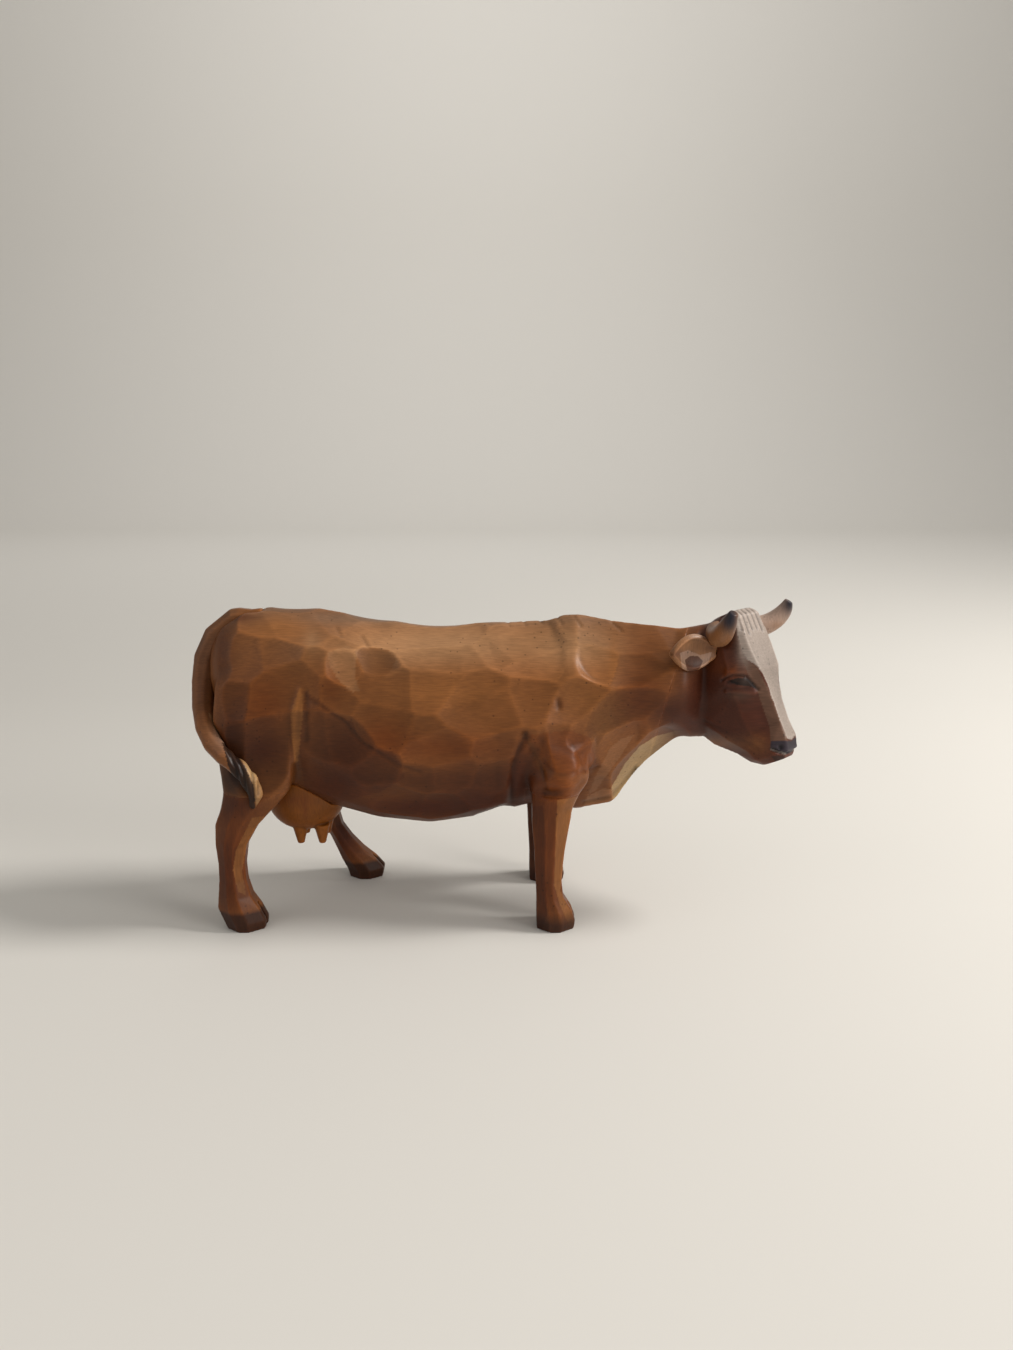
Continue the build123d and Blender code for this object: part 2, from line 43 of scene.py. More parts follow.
# Camera: a hand-held shot from the cow's right side, a little above the back
camera_place = np.array([3.93, -317.39, 144.6])
camera_tilt = math.radians(12.0)
photo_wide, photo_high = 1013, 1350
focal_px = 1014.0
sensor_width = 36.0

# Head: poll, turn to the cow's right and droop of the face
poll = np.array([78.23, -3.89, 100.3])
head_turn = math.radians(42.0)
head_droop = math.radians(64.0)

# Blocks that are glued up before the last cuts
glued_blocks = ("trunk", "head", "front_right_leg", "front_left_leg", "hind_right_leg", "hind_left_leg")
front_legs = ("front_right_leg", "front_left_leg")
seat_height = 44.0
# Each leg's block: rear and front at the sole, rear and front at the glue face, side of the cow
leg_blocks = {
    "front_right_leg": (9.6, 28.4, 9.6, 28.4, -1),
    "front_left_leg": (8.2, 27.0, 8.2, 27.0, 1),
    "hind_right_leg": (-89.5, -70.0, -89.5, -62.3, -1),
    "hind_left_leg": (-66.0, -38.0, -69.8, -50.3, 1),
}
leg_block_inner, leg_block_outer, leg_block_low = 9.4, 40.0, -2.0
neck_seat_place = np.array([56.93, 0.11, 75.0])
neck_seat_normal = np.array([0.947, -0.201, -0.250])
head_block_half, head_block_deep = 90.0, 120.0

# Stain colours of the carving, some of them also used for painted shade and highlights
STAIN = {
    "warm": "#764722",
    "honey": "#835329",
    "pale": "#956E4B",
    "top": "#645040",
    "tan": "#8A6040",
    "peach": "#A2845C",
    "red": "#67320D",
    "dark": "#421A06",
    "soot": "#180A05",
    "maroon": "#4A2518",
    "ash": "#8F8177",
    "cream": "#9C9086",
    "bark": "#5C4233",
    "gold": "#784311",
    "hoof": "#28120A",
    "slate": "#26242C",
    "pink": "#B39887",
}


def linear(code):
    """Linear red, green and blue of an sRGB hex colour."""
    parts = [int(code[i:i + 2], 16) / 255 for i in (1, 3, 5)]
    return [p / 12.92 if p <= 0.04045 else ((p + 0.055) / 1.055) ** 2.4 for p in parts]


LINEAR = {name: np.array(linear(code)) for name, code in STAIN.items()}


# Places
def to_photo(points):
    """Pixels of the photo for points on the figurine."""
    rel = points - camera_place
    deep = rel[:, 1] * math.cos(camera_tilt) - rel[:, 2] * math.sin(camera_tilt)
    down = -rel[:, 1] * math.sin(camera_tilt) - rel[:, 2] * math.cos(camera_tilt)
    across = photo_wide / 2 + focal_px * rel[:, 0] / deep
    return np.stack([across, photo_high / 2 + focal_px * down / deep], 1)


def sight_line(px, py):
    """Direction from the camera through one pixel of the photo."""
    aside = (px - photo_wide / 2) / focal_px
    below = (py - photo_high / 2) / focal_px
    c, s = math.cos(camera_tilt), math.sin(camera_tilt)
    way = np.array([aside, c - below * s, -s - below * c])
    return way / np.linalg.norm(way)


def head_axes():
    """Left, back and down directions of the head."""
    left = np.array([math.sin(head_turn), math.cos(head_turn), 0])
    ahead = np.array([math.cos(head_turn), -math.sin(head_turn), 0])
    down = ahead * math.cos(head_droop) - np.array([0, 0, 1]) * math.sin(head_droop)
    return left, np.cross(left, down), down


HEAD_LEFT, HEAD_BACK, HEAD_DOWN = head_axes()


def head_coords(points):
    """Left, back and down the face for points on the figurine."""
    rel = points - poll
    return np.stack([rel @ HEAD_LEFT, rel @ HEAD_BACK, rel @ HEAD_DOWN], 1)


def right_half(points):
    """Head coordinates of points, brought over to the head's right half."""
    coords = head_coords(points)
    coords[:, 0] = -np.abs(coords[:, 0])
    return coords


def head_near_side(points):
    """The same places brought over to the head's right half."""
    coords = right_half(points)
    return poll + coords[:, :1] * HEAD_LEFT + coords[:, 1:2] * HEAD_BACK + coords[:, 2:] * HEAD_DOWN


def near_side(points):
    """The same places brought over to the cow's right side."""
    return points * np.array([1, 0, 1]) - np.abs(points) * np.array([0, 1, 0])


def ahead_of_neck(points):
    """How far each point lies in front of the neck's glue face."""
    return (points - neck_seat_place) @ neck_seat_normal


def leg_middle(node):
    """Middle of a front leg's block along the cow."""
    return (leg_blocks[node][0] + leg_blocks[node][1]) / 2


def fade(distance, width):
    """Share that rises from 0 to 1 over a width."""
    return np.clip(distance / width, 0, 1)


# Meshes
def corners(piece):
    flat = np.zeros(len(piece.data.vertices) * 3, np.float32)
    piece.data.vertices.foreach_get("co", flat)
    return flat.reshape(-1, 3).astype(float) / MM


def set_corners(piece, points):
    piece.data.vertices.foreach_set("co", (points * MM).astype(np.float32).ravel())
    piece.data.update()


def normals(piece):
    flat = np.zeros(len(piece.data.vertices) * 3, np.float32)
    piece.data.vertices.foreach_get("normal", flat)
    return flat.reshape(-1, 3).astype(float)


def placed(name, data):
    """A new object in the scene, at the origin."""
    thing = bpy.data.objects.new(name, data)
    bpy.context.scene.collection.objects.link(thing)
    return thing


def pick(piece):
    """Only this piece is selected and active."""
    bpy.ops.object.select_all(action="DESELECT")
    piece.select_set(True)
    bpy.context.view_layer.objects.active = piece


def finish_with(piece, kind, **settings):
    """Adds a modifier and applies it."""
    pick(piece)
    change = piece.modifiers.new(kind.lower(), kind)
    for name, value in settings.items():
        setattr(change, name, value)
    bpy.ops.object.modifier_apply(modifier=change.name)


def even_skin(piece, cell):
    finish_with(piece, "REMESH", mode="VOXEL", voxel_size=cell * MM)


def wear(piece, rounds, group=""):
    """Wears edges round; a vertex group gives each corner's share."""
    finish_with(piece, "SMOOTH", factor=0.5, iterations=rounds, vertex_group=group)


merge_distance = 0.01


def merged_copy(node, name):
    """A loose copy of a node's mesh in one skin."""
    piece = placed(name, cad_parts[node].data.copy())
    piece.data.materials.clear()
    pick(piece)
    bpy.ops.object.mode_set(mode="EDIT")
    bpy.ops.mesh.select_all(action="SELECT")
    bpy.ops.mesh.remove_doubles(threshold=merge_distance * MM)
    bpy.ops.object.mode_set(mode="OBJECT")
    return piece


def carved_copy(node, cell, rounds):
    """A piece in an even skin of small cells, its edges worn round, that stands for the node."""
    piece = merged_copy(node, node + "_carved")
    even_skin(piece, cell)
    wear(piece, rounds)
    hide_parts(node)
    return piece


# Skin of the glued body: cells, rounds of wear at the cell wear_cell, and steps of its share
trunk_cell, limb_cell = 0.615, 0.34
body_wear, wear_cell, last_wear = 40, 0.6, 2
wear_steps = 10


def glued_body(name, cell):
    """Trunk, head and legs as one skin, as they are when the glued-up blocks get their last cuts."""
    copies = [merged_copy(node, name) for node in glued_blocks]
    pick(copies[0])
    for piece in copies:
        piece.select_set(True)
    bpy.ops.object.join()
    body = bpy.context.object
    even_skin(body, cell)
    fill_elbows(body)
    soft = body_share(corners(body))
    group = body.vertex_groups.new(name="body")
    for step in range(1, wear_steps + 1):
        members = np.nonzero(np.abs(soft - step / wear_steps) < 0.5 / wear_steps)[0]
        group.add([int(i) for i in members], step / wear_steps, "REPLACE")
    wear(body, round(body_wear * (wear_cell / cell) ** 2), "body")
    wear(body, last_wear)
    body.vertex_groups.clear()
    return body


def in_block(points, block):
    """True inside a leg's block."""
    rear_foot, front_foot, rear_top, front_top, side = block
    share = fade(points[:, 2], seat_height)
    rear = rear_foot + (rear_top - rear_foot) * share
    front = front_foot + (front_top - front_foot) * share
    x, y, z = points.T
    return (x > rear) & (x < front) & (y * side > leg_block_inner) & (z < seat_height)


# Wear fades out past the neck's glue face and down the legs, and reaches the cheek's rear and the eye
neck_fade, leg_fade = 5.0, 8.0
cheek_edge, cheek_lean, cheek_fade, cheek_low = 1.5, 0.5, 4.0, 34.0
eye_place = np.array([-11.5, 5.1, 22.3])
eye_reach, eye_fade, eye_wear = 4.6, 1.5, 0.6


def body_share(points):
    """How much of the body's soft modelling reaches a place: all of the trunk, fading into legs and head."""
    soft = 1 - fade(ahead_of_neck(points), neck_fade)
    coords = right_half(points)
    behind_cheek = coords[:, 1] - cheek_edge - cheek_lean * coords[:, 2]
    soft = np.maximum(soft, fade(behind_cheek, cheek_fade) * (coords[:, 2] < cheek_low))
    at_eye = np.linalg.norm(coords - eye_place, axis=1)
    soft = np.maximum(soft, eye_wear * fade(eye_reach - at_eye, eye_fade))
    for block in leg_blocks.values():
        inside = in_block(points, block)
        soft[inside] = 1 - fade(seat_height - points[inside, 2], leg_fade)
    return soft


# Wood over the front legs' glue faces: how far it stands out, and where
elbow_rise, elbow_height, elbow_side = 1.7, 47.0, 17.0
elbow_half_wide, elbow_half_high = 7.5, 4.5


def fill_elbows(piece):
    """Builds the wood out over the front legs' glue faces, so that shoulder and leg run on."""
    points = corners(piece)
    for node in front_legs:
        side = leg_blocks[node][4]
        along = (points[:, 0] - leg_middle(node)) / elbow_half_wide
        over = np.exp(-along ** 4 - ((points[:, 2] - elbow_height) / elbow_half_high) ** 2)
        points[:, 1] += side * elbow_rise * over * (points[:, 1] * side > elbow_side)
    set_corners(piece, points)


def cutter(name, low, high):
    """A closed block between two rings of four corners."""
    faces = [(3, 2, 1, 0), (4, 5, 6, 7), (0, 1, 5, 4), (1, 2, 6, 5), (2, 3, 7, 6), (3, 0, 4, 7)]
    mesh = bpy.data.meshes.new(name)
    mesh.from_pydata([tuple(np.array(corner) * MM) for corner in [*low, *high]], [], faces)
    tool = placed(name, mesh)
    pick(tool)
    bpy.ops.object.mode_set(mode="EDIT")
    bpy.ops.mesh.select_all(action="SELECT")
    bpy.ops.mesh.normals_make_consistent(inside=False)
    bpy.ops.object.mode_set(mode="OBJECT")
    return tool


def leg_cutter(name, block):
    rear_foot, front_foot, rear_top, front_top, side = block
    inner, outer = side * leg_block_inner, side * leg_block_outer
    rings = []
    for rear, front, height in ((rear_foot, front_foot, leg_block_low), (rear_top, front_top, seat_height)):
        rings.append([(rear, inner, height), (front, inner, height), (front, outer, height), (rear, outer, height)])
    return cutter(name, *rings)


def head_cutter():
    up = np.array([0, 0, 1.0]) - neck_seat_normal * neck_seat_normal[2]
    up /= np.linalg.norm(up)
    aside = np.cross(up, neck_seat_normal)
    ring = [neck_seat_place + up * u * head_block_half + aside * w * head_block_half
            for u, w in ((-1, -1), (-1, 1), (1, 1), (1, -1))]
    return cutter("head_cutter", ring, [corner + neck_seat_normal * head_block_deep for corner in ring])


def cut_out(body, tool, name, node):
    """The part of the glued body inside one block."""
    piece = placed(name, body.data.copy())
    finish_with(piece, "BOOLEAN", operation="INTERSECT", object=tool, solver="MANIFOLD")
    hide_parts(node)
    return piece


# Each facet's tone is partly its own and partly painted light: upper facets are made lighter and lower ones darker
# Gouge and knife facets of the flanks: photo pixel in the middle of each, half size, hollow radius and tone
body_facets = [
    # rump, thigh and hip
    (278, 625, 8, 150, 0.10), (246, 660, 8, 120, 0.06), (291, 650, 7, 110, 0.10), (266, 697, 10, 90, 0.02),
    (238, 706, 7, 70, -0.12), (276, 736, 9, 70, -0.12), (240, 738, 7, 60, -0.18), (313, 672, 6, 80, 0.12),
    (339, 704, 8, 90, -0.02), (312, 726, 8, 60, -0.06), (348, 668, 8, 28, 0.16), (378, 664, 8, 28, -0.06),
    (334, 636, 7, 110, 0.12), (362, 634, 6, 110, 0.04),
    # ribs and flank
    (404, 650, 9, 150, 0.10), (440, 656, 9, 170, 0.15), (480, 648, 9, 170, 0.10), (512, 650, 8, 170, 0.14),
    (398, 692, 8, 110, -0.04), (432, 692, 9, 110, 0.08), (468, 706, 9, 110, 0.0), (500, 694, 8, 120, 0.06),
    (382, 732, 9, 90, 0.04), (420, 742, 8, 90, -0.02), (452, 744, 8, 90, 0.05), (488, 748, 8, 100, -0.02),
    (347, 745, 10, 44, -0.10), (384, 766, 8, 80, -0.10), (415, 774, 8, 90, -0.04), (453, 778, 9, 90, 0.0),
    (495, 780, 8, 90, -0.06), (400, 800, 8, 90, 0.05), (445, 805, 8, 90, 0.0),
    # shoulder and neck
    (553, 655, 8, 110, 0.04), (588, 652, 8, 80, 0.0), (611, 655, 5, 70, 0.14), (639, 636, 7, 90, -0.02),
    (640, 669, 8, 90, -0.06), (536, 700, 8, 110, 0.02), (571, 700, 8, 80, 0.04), (604, 715, 7, 80, 0.06),
    (569, 752, 8, 80, -0.04), (606, 745, 6, 80, 0.10), (636, 705, 8, 80, -0.10), (655, 655, 7, 80, -0.04),
    (622, 760, 7, 80, 0.06), (600, 785, 6, 80, 0.04),
]
# Those of the back, one each side: place along the cow and off its middle, half size, hollow radius and tone
back_facets = [
    (-66, 9, 9, 200, 0.16), (-46, 9, 10, 200, 0.12), (-24, 9, 11, 220, 0.18), (-2, 9, 11, 220, 0.14),
    (20, 8, 10, 220, 0.06), (38, 7, 9, 160, 0.02), (55, 6, 8, 160, -0.04),
]
# Those of the chest, one each side: height, half size, hollow radius and tone
chest_facets = [(62, 9, 80, 0.02), (48, 9, 80, 0.04), (36, 8, 80, -0.04)]
chest_aside = 6.0
# Well outside the figurine, where the lines that find the back and the chest start
clear_of_cow = 200.0

hollow_scale, facet_tilt, lean_steps = 0.6, 0.10, (2.3, 1.7)
# Percent of a facet that its ball takes in, and least and greatest depth
facet_cover, shallow_cut, deep_cut = 84, 0.6, 2.3
# How far a ball cuts, in half sizes, the outer share in which it fades, and how strong the tones are
cut_reach, cut_edge, tone_strength = 2.4, 0.2, 1.6


def facet_ball(points, outward, hit, size, hollow, number):
    """Ball that cuts one facet of this half size, and where it cuts; each cut leans its own way."""
    hollow *= hollow_scale
    close = np.linalg.norm(points - hit, axis=1) < size
    normal = outward[close].mean(0)
    normal += facet_tilt * np.array([math.sin(lean_steps[0] * number), 0, math.cos(lean_steps[1] * number)])
    normal /= np.linalg.norm(normal)
    rel = points[close] - hit
    height = rel @ normal
    across = np.sqrt(np.maximum((rel ** 2).sum(1) - height ** 2, 0))
    depth = float(np.percentile(across ** 2 / (2 * hollow) - height, facet_cover))
    depth = min(max(depth, shallow_cut), deep_cut)
    return hit + normal * (hollow - depth), hollow, hit, size * cut_reach


def struck(tree, start, way):
    """Where a straight line first meets the skin, or None."""
    place = tree.ray_cast(Vector(start * MM), Vector(way))[0]
    return None if place is None else np.array(place) / MM


def body_cuts(trunk):
    """Balls for all facets of both flanks, the back and the chest, with their tones."""
    points, outward = corners(trunk), normals(trunk)
    tree = BVHTree.FromObject(trunk, bpy.context.evaluated_depsgraph_get())
    hits = []
    for px, py, *facet in body_facets:
        hit = struck(tree, camera_place, sight_line(px, py))
        if hit is not None:
            far_hit = np.array(tree.find_nearest(Vector(hit * np.array([1, -1, 1]) * MM))[0]) / MM
            hits += [(hit, *facet), (far_hit, *facet)]
    for x, aside, *facet in back_facets:
        for side in (-1, 1):
            hits.append((struck(tree, np.array([x, side * aside, clear_of_cow]), (0, 0, -1)), *facet))
    for height, *facet in chest_facets:
        for side in (-1, 1):
            hits.append((struck(tree, np.array([clear_of_cow, side * chest_aside, height]), (-1, 0, 0)), *facet))
    hits = [hit for hit in hits if hit[0] is not None]
    balls = [facet_ball(points, outward, *hit[:3], number // 2) for number, hit in enumerate(hits)]
    return balls, [hit[3] for hit in hits]


# Cuts fade out into the face and over the front legs' glue faces, so that no dowel is bared
face_clear, face_fade, face_back, face_back_fade = 3.0, 6.0, 28.0, 8.0
leg_clear_wide, leg_clear_fade, leg_clear_top, leg_clear_drop = 16.0, 5.0, 60.0, 11.0


def cut_share(points):
    """How much of each cut reaches a place."""
    spare = fade(ahead_of_neck(points) + face_clear, face_fade)
    spare *= fade(face_back - head_coords(points)[:, 1], face_back_fade)
    for node in front_legs:
        aside = fade(leg_clear_wide - np.abs(points[:, 0] - leg_middle(node)), leg_clear_fade)
        spare = np.maximum(spare, aside * fade(leg_clear_top - points[:, 2], leg_clear_drop))
    return 1 - spare


def cut_facets(piece, balls, tones):
    """Pushes the skin back to every ball's surface and returns each corner's tone."""
    points = corners(piece)
    tone = np.zeros(len(points))
    share = cut_share(points)
    for (centre, hollow, hit, reach), value in zip(balls, tones):
        away = points - centre
        far = np.linalg.norm(away, axis=1)
        edge = fade(reach - np.linalg.norm(points - hit, axis=1), cut_edge * reach)
        cut = (far < hollow) & (edge * share > 0)
        push = (hollow / far[cut] - 1) * share[cut] * edge[cut]
        points[cut] += away[cut] * push[:, None]
        tone[cut] += (tone_strength * value - tone[cut]) * share[cut] * (edge[cut] > 0.5)
    set_corners(piece, points)
    return tone


def near_path(places, path):
    """Distance of places from a path of points, in the path's own units."""
    best = np.full(len(places), np.inf)
    for start, end in zip(path, path[1:]):
        start, end = np.array(start, float), np.array(end, float)
        way = end - start
        share = fade((places - start) @ way, way @ way)
        best = np.minimum(best, np.linalg.norm(places - start - share[:, None] * way, axis=1))
    return best


def cut_lines(piece, places, lines):
    """Presses knife lines into the skin, or raises ridges where the depth is below zero."""
    points, outward = corners(piece), normals(piece)
    for path, width, depth in lines:
        push = depth * np.exp(-(near_path(places, path) / width) ** 2)
        points -= outward * push[:, None]
    set_corners(piece, points)


# Knife lines of the body: path at photo pixels, its width in pixels, depth
body_lines = [
    # nicks along the withers and back
    ([(504, 617), (510, 626)], 1.2, 0.3), ([(520, 616), (526, 625)], 1.2, 0.3), ([(537, 615), (543, 624)], 1.2, 0.3),
    ([(556, 615), (562, 624)], 1.2, 0.3), ([(575, 617), (581, 626)], 1.2, 0.3), ([(612, 622), (622, 631)], 1.2, 0.3),
    # elbow and forearm
    ([(525, 735), (514, 765), (512, 800)], 4.0, 0.7), ([(525, 735), (540, 765), (546, 792)], 3.0, 0.5),
    ([(546, 792), (575, 790), (598, 767)], 2.5, 0.2), ([(530, 738), (548, 768), (560, 776), (598, 767)], 2.0, 0.2),
    # thigh, flank, dewlap, a dint on the ribs, hip
    ([(300, 690), (294, 712), (294, 760)], 3.0, -0.4), ([(306, 693), (306, 740)], 3.0, 0.4),
    ([(311, 700), (345, 722), (362, 742), (400, 766), (420, 772)], 2.0, 0.3),
    ([(585, 803), (612, 797), (636, 768)], 3.0, 0.5), ([(558, 700), (559, 708)], 2.5, 0.35),
    ([(337, 628), (341, 636)], 1.5, 0.3), ([(362, 636), (368, 646)], 1.5, 0.3),
]
# Those of the head in its own coordinates: eye slit, lids, mouth, jaw
head_lines = [
    ([(-10, 0.9, 26.0), (-11.3, 3.0, 24.0), (-12, 8.0, 21.0)], 0.75, 0.8),
    ([(-10, 1.5, 29.0), (-11.5, 4.5, 27.0), (-12, 8.5, 24.5)], 0.8, 0.35),
    ([(-10, 0, 22.5), (-12, 2.8, 20.0), (-12, 7.0, 18.2)], 1.2, -0.5),
    ([(-7, 5.3, 44.4), (-3, 3.1, 47.5), (0, 2.6, 47.9)], 0.55, 0.6),
    ([(-10, 22, 30), (-9.5, 14, 38), (-7, 9, 43)], 1.0, 0.3),
]
# Lids again, at photo pixels
lid_lines = [
    ([(722, 680), (733, 675), (746, 676), (758, 689)], 1.5, 0.5), ([(727, 691), (740, 692), (754, 693)], 2.2, -0.4),
]
# Short strokes of hair on the forehead, seen from the front of the face: left, down
forelock_lines = [
    ([(-1.4, 0.8), (-1.4, 8.0)], 0.55, 0.35), ([(-3.8, 0.6), (-4.1, 9.0)], 0.55, 0.35),
    ([(-6.2, 1.0), (-6.8, 7.5)], 0.55, 0.35),
]
forelock_front, out_of_reach = 6.0, 99
# Grooves of the tail's brush, at photo pixels
tail_lines = [
    ([(232, 742), (243, 772), (247, 803)], 2.0, 0.5), ([(241, 742), (253, 770), (254, 800)], 2.0, 0.5),
    ([(224, 735), (236, 770), (241, 800)], 2.0, 0.5), ([(248, 750), (260, 778), (258, 795)], 2.0, 0.4),
]


def forehead_places(points):
    """Left and down on the front of the face; what lies behind it is moved out of the strokes' reach."""
    coords = right_half(points)
    return np.stack([coords[:, 0], coords[:, 2] + out_of_reach * (coords[:, 1] > forelock_front)], 1)


# Stain, with painted shade and highlights
spray_falloff = 1.2
darkest_shade, palest_shade = 0.2, 2.0


def bare(points, stain):
    """One stain all over, for as many corners as there are points."""
    return np.tile(LINEAR[stain], (len(points), 1))


def brush(colour, pixels, strokes):
    """Airbrushed strokes at photo pixels: x, y, half width, half height, stain, strength."""
    for px, py, wide, high, stain, strength in strokes:
        away = ((pixels[:, 0] - px) / wide) ** 2 + ((pixels[:, 1] - py) / high) ** 2
        cover = (strength * np.exp(-away * spray_falloff))[:, None]
        colour += (LINEAR[stain] - colour) * cover
    return colour


def hard_brush(colour, pixels, shapes):
    """Sharp-edged stained areas: corner pixels of a closed shape, stain, strength."""
    for outline, stain, strength in shapes:
        inside = np.zeros(len(pixels), bool)
        x, y = pixels[:, 0], pixels[:, 1]
        for (ax, ay), (bx, by) in zip(outline, outline[1:] + outline[:1]):
            if ay != by:
                inside ^= ((ay > y) != (by > y)) & (x < (bx - ax) * (y - ay) / (by - ay) + ax)
        colour[inside] += (LINEAR[stain] - colour[inside]) * strength
    return colour


def painted(colour, pixels, strokes, shapes):
    """Airbrushed strokes first, and then the sharp-edged areas."""
    return hard_brush(brush(colour, pixels, strokes), pixels, shapes)


body_strokes = [
    # top and back, paler and a little grey
    (440, 618, 210, 10, "top", 0.90), (270, 608, 60, 10, "top", 0.60), (450, 642, 130, 24, "pale", 0.85),
    (400, 650, 80, 20, "pale", 0.40), (575, 645, 44, 24, "pale", 0.75), (450, 690, 70, 18, "honey", 0.50),
    (278, 625, 30, 16, "honey", 0.60), (580, 690, 30, 30, "honey", 0.45), (312, 640, 9, 12, "pale", 0.50),
    # rump, thigh and hip
    (262, 705, 36, 34, "red", 0.75), (262, 750, 40, 28, "dark", 0.90), (330, 690, 16, 24, "red", 0.50),
    (222, 650, 12, 50, "dark", 0.60), (235, 617, 24, 6, "dark", 0.70), (230, 735, 18, 34, "dark", 0.80),
    # The soot stroke is dark stain under the tail's brush together with painted shadow where the tail stands off the
    # thigh
    (232, 780, 24, 26, "soot", 0.85),
    # flank hollow and belly
    (347, 750, 36, 32, "dark", 0.70), (335, 785, 40, 24, "dark", 0.85), (386, 740, 26, 24, "red", 0.75),
    (449, 748, 80, 18, "red", 0.75), (430, 780, 120, 16, "dark", 0.60), (500, 778, 60, 18, "dark", 0.60),
    # The tall dark stroke behind the elbow is painted shade in the armpit
    (430, 808, 130, 18, "dark", 1.00), (521, 780, 16, 34, "dark", 0.95), (490, 800, 60, 18, "dark", 0.90),
    # shoulder, neck and dewlap
    # The first stroke below, a thin pale band down the shoulder's ridge, is a painted highlight
    (614, 664, 6, 36, "honey", 0.60), (569, 752, 32, 20, "red", 0.70), (556, 790, 26, 20, "red", 0.80),
    (603, 720, 13, 34, "honey", 0.55), (645, 655, 22, 30, "red", 0.35), (642, 700, 26, 30, "red", 0.85),
    # The first stroke, under the jaw, is dark stain together with painted shade
    (672, 712, 24, 20, "dark", 0.85), (560, 704, 5, 5, "dark", 0.55),
]
body_shapes = [
    # hip bone: its lit and its shaded side
    ([(327, 653), (331, 668), (340, 682), (352, 692), (360, 691), (356, 680), (355, 665), (358, 650), (345, 646)],
     "pale", 0.35),
    ([(358, 650), (372, 647), (388, 650), (396, 659), (390, 672), (378, 683), (366, 693), (358, 690), (355, 670)],
     "warm", 0.50),
    # flank hollow, and a painted highlight down the thigh's front edge
    ([(306, 692), (318, 700), (332, 712), (352, 722), (360, 740), (374, 748), (392, 752), (402, 764), (404, 778),
      (380, 792), (340, 802), (305, 792), (298, 740)], "dark", 0.40),
    ([(300, 688), (295, 700), (291, 712), (292, 735), (294, 762), (298, 762), (300, 740), (303, 712), (302, 695)],
     "honey", 0.75),
    # forearm, elbow with painted shade behind it, chest and dewlap
    ([(528, 735), (545, 733), (570, 730), (590, 738), (598, 767), (578, 776), (546, 770)], "red", 0.55),
    ([(525, 733), (516, 752), (508, 780), (510, 806), (546, 806), (545, 792), (536, 762)], "dark", 0.45),
    ([(596, 775), (610, 748), (622, 738), (634, 735), (618, 760), (606, 776), (596, 790), (588, 795)], "tan", 0.45),
    ([(612, 800), (612, 786), (626, 762), (640, 746), (656, 736), (676, 731), (696, 731), (696, 750), (660, 760),
      (640, 800)], "peach", 0.95),
    ([(580, 812), (588, 796), (604, 788), (614, 790), (612, 812)], "tan", 0.60),
]
head_strokes = [
    # The first stroke is painted shade down the cheek's rear edge, where the cheek meets the neck; the second, under
    # the jaw, is dark stain together with painted shade
    (704, 672, 7, 34, "dark", 0.85), (690, 712, 32, 20, "dark", 0.90), (735, 712, 20, 26, "dark", 0.50),
    (715, 655, 24, 14, "red", 0.30), (733, 670, 22, 8, "red", 0.70), (740, 696, 14, 5, "bark", 0.50),
    (700, 743, 44, 7, "tan", 0.60), (757, 745, 14, 12, "warm", 0.60),
]
forehead_strokes = [(743, 642, 7, 26, "ash", 0.8), (748, 655, 6, 6, "ash", 0.5)]
head_shapes = [
    # blaze down the face and its dark edge
    ([(734, 600), (735, 618), (738, 636), (742, 650), (747, 659), (756, 665), (762, 672), (768, 685), (771, 695),
      (775, 705), (780, 720), (785, 738), (800, 742), (800, 600)], "cream", 0.85),
    ([(743, 660), (750, 680), (757, 690), (763, 708), (770, 728), (771, 741), (788, 741), (780, 720), (771, 695),
      (756, 665)], "bark", 0.85),
    ([(736, 632), (727, 640), (718, 648), (737, 650)], "dark", 0.6),
    # muzzle, lip and mouth
    ([(771, 741), (798, 741), (798, 752), (784, 754), (770, 749)], "slate", 0.90),
    ([(770, 748), (786, 753), (786, 755), (770, 750)], "cream", 0.6),
    ([(771, 756), (785, 755), (784, 760), (777, 764)], "soot", 0.7),
    # eye
    ([(728, 681), (737, 678), (747, 678), (753, 683), (757, 689), (747, 686), (737, 685)], "soot", 0.92),
]
front_leg_strokes = [
    (550, 850, 24, 80, "red", 0.95), (548, 895, 20, 34, "dark", 0.55), (552, 835, 14, 40, "dark", 0.25),
]
leg_strokes = {
    "front_right_leg": front_leg_strokes,
    "front_left_leg": front_leg_strokes,
    "hind_right_leg": [
        (236, 860, 28, 80, "red", 0.95), (226, 870, 14, 60, "dark", 0.80), (236, 805, 26, 18, "dark", 0.75),
    ],
    "hind_left_leg": [
        (350, 845, 24, 34, "red", 0.85), (342, 840, 12, 40, "dark", 0.80), (350, 830, 20, 14, "dark", 0.60),
    ],
}
# The honey areas of the legs are painted highlights down their front edges; the dark area is painted shade on the
# front legs' rear side
front_leg_shapes = [
    ([(557, 800), (583, 796), (574, 820), (569, 840), (564, 868), (560, 890), (570, 912), (576, 925), (572, 932),
      (560, 905), (554, 885), (555, 860)], "honey", 0.75),
    ([(524, 806), (543, 806), (546, 840), (545, 868), (547, 915), (540, 936), (524, 936)], "dark", 0.55),
]
leg_shapes = {
    "front_right_leg": front_leg_shapes,
    "front_left_leg": front_leg_shapes,
    "hind_right_leg": [
        ([(252, 818), (270, 815), (246, 850), (242, 872), (246, 895), (238, 892), (233, 870), (236, 850)],
         "honey", 0.75),
    ],
    "hind_left_leg": [],
}
